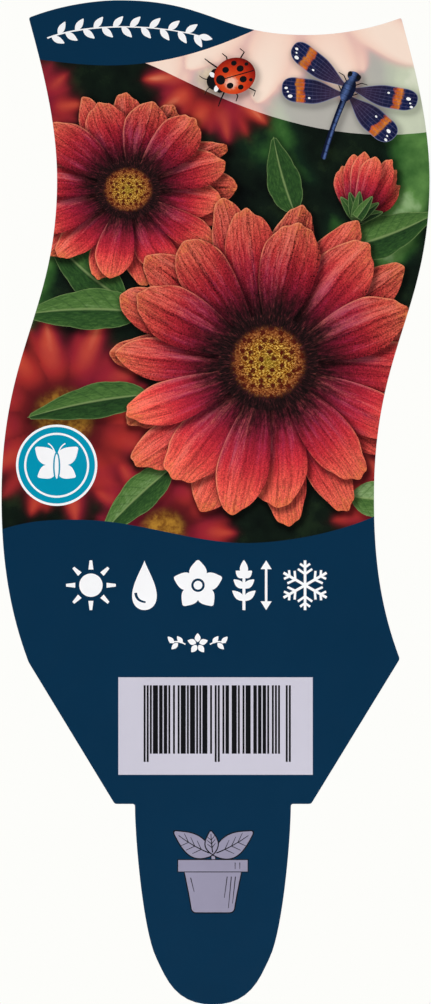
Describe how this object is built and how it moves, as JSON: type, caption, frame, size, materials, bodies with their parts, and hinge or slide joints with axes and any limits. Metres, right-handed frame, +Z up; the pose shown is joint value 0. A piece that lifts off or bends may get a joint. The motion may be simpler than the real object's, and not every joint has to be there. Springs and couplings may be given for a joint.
{
  "type": "printed plastic plant label",
  "caption": "Flat die-cut plastic plant label with wavy sides, a printed flower panel and a tapered stake that is pushed into a flowerpot's soil.",
  "frame": {"origin": "on the back face, in the middle of the stake's top, level with the two shoulders that stop at the surface of the soil", "axes": "+Z up along the label, from the stake's tip to the top edge; -Y is the way the printed front faces; +X is to the right for someone who looks at the front"},
  "size_m": [0.0732, 0.0005, 0.1717],
  "materials": {
    "printed_plastic": "white plastic sheet, printed on the front and varnished to a satin gloss, bare white on the back and on the cut edges"
  },
  "bodies": {
    "root": {"label_sheet": "printed_plastic"}
  },
  "joints": []
}
